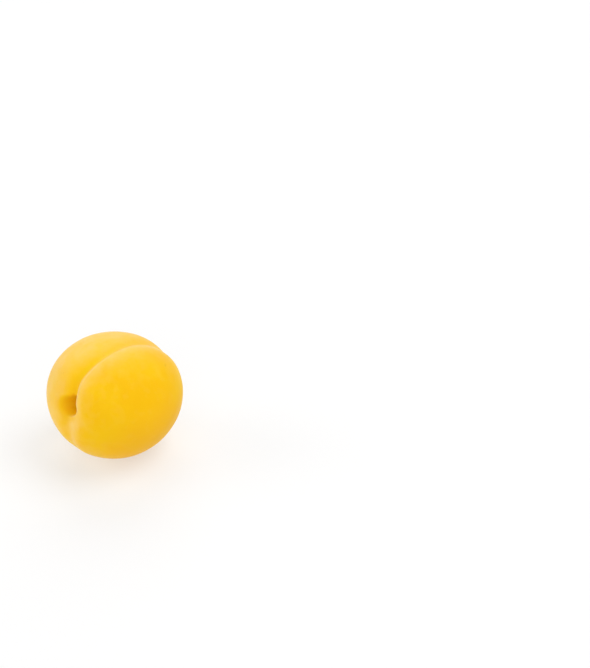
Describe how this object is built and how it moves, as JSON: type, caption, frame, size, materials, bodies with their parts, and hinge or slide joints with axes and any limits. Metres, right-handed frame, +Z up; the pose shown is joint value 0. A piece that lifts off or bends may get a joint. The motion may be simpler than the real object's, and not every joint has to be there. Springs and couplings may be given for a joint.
{
  "type": "apricot",
  "caption": "Whole ripe apricot lying on a small flat spot, with a suture groove over the top and a deep stem cavity at one end.",
  "frame": {"origin": "middle of the small flat spot that the fruit rests on", "axes": "+Z up; -X towards the stem end and +X towards the blossom end; the two cheeks face -Y and +Y; the suture runs over the top"},
  "size_m": [0.0504, 0.0476, 0.0451],
  "materials": {
    "skin": "matte"
  },
  "bodies": {
    "root": {"apricot": "skin"}
  },
  "joints": []
}
